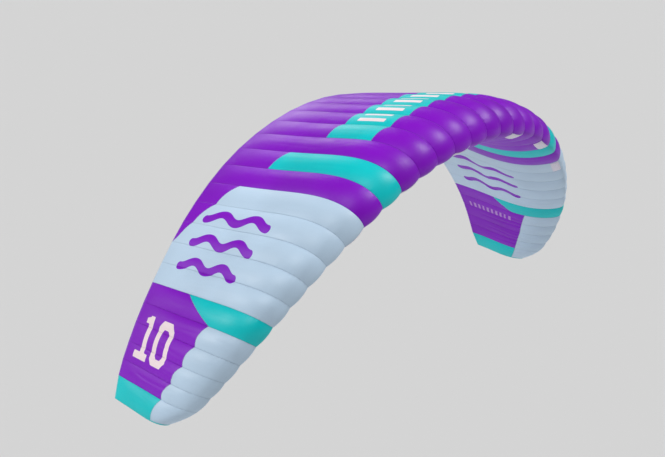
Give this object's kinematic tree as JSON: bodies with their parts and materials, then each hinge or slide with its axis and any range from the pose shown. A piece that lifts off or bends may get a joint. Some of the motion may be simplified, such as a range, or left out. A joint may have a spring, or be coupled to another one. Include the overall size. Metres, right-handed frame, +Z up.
{
  "type": "foil kite",
  "caption": "Inflated foil kite in flight: an arched wing of air-filled cloth cells with a rounded nose, thin tail and air intakes.",
  "frame": {"origin": "on the lower skin in the middle of the centre cell, 30 percent of the centre chord behind the nose, where the middle of the bridle pulls", "axes": "+X the way the kite flies, from tail to nose; +Y along the span to the far tip of the picture; +Z up"},
  "size_m": [1.6936, 5.5668, 2.215],
  "materials": {
    "purple_cloth": "coated ripstop nylon, satin, violet",
    "teal_cloth": "coated ripstop nylon, satin, turquoise",
    "pale_cloth": "coated ripstop nylon, satin, pale ice blue",
    "intake_cloth": "open weave cloth, matt, near white"
  },
  "bodies": {
    "root": {"cell_01": "teal_cloth", "cell_02": "purple_cloth", "cell_03": "purple_cloth", "cell_04": "purple_cloth", "cell_05": "purple_cloth", "cell_06": "purple_cloth", "cell_07": "pale_cloth", "cell_08": "pale_cloth", "cell_09": "pale_cloth", "cell_10": "pale_cloth", "cell_11": "pale_cloth", "cell_12": "purple_cloth", "cell_13": "teal_cloth", "cell_14": "purple_cloth", "cell_15": "purple_cloth", "cell_16": "purple_cloth", "cell_17": "purple_cloth", "cell_18": "purple_cloth", "cell_19": "purple_cloth", "cell_20": "purple_cloth", "cell_21": "purple_cloth", "cell_22": "purple_cloth", "cell_23": "purple_cloth", "cell_24": "purple_cloth", "cell_25": "teal_cloth", "cell_26": "purple_cloth", "cell_27": "pale_cloth", "cell_28": "pale_cloth", "cell_29": "pale_cloth", "cell_30": "pale_cloth", "cell_31": "pale_cloth", "cell_32": "purple_cloth", "cell_33": "purple_cloth", "cell_34": "purple_cloth", "cell_35": "purple_cloth", "cell_36": "purple_cloth", "cell_37": "teal_cloth", "intake_11": "intake_cloth", "intake_14": "intake_cloth", "intake_17": "intake_cloth", "intake_21": "intake_cloth", "intake_24": "intake_cloth", "intake_27": "intake_cloth", "end_panel_near": "teal_cloth", "end_panel_far": "teal_cloth"}
  },
  "joints": []
}
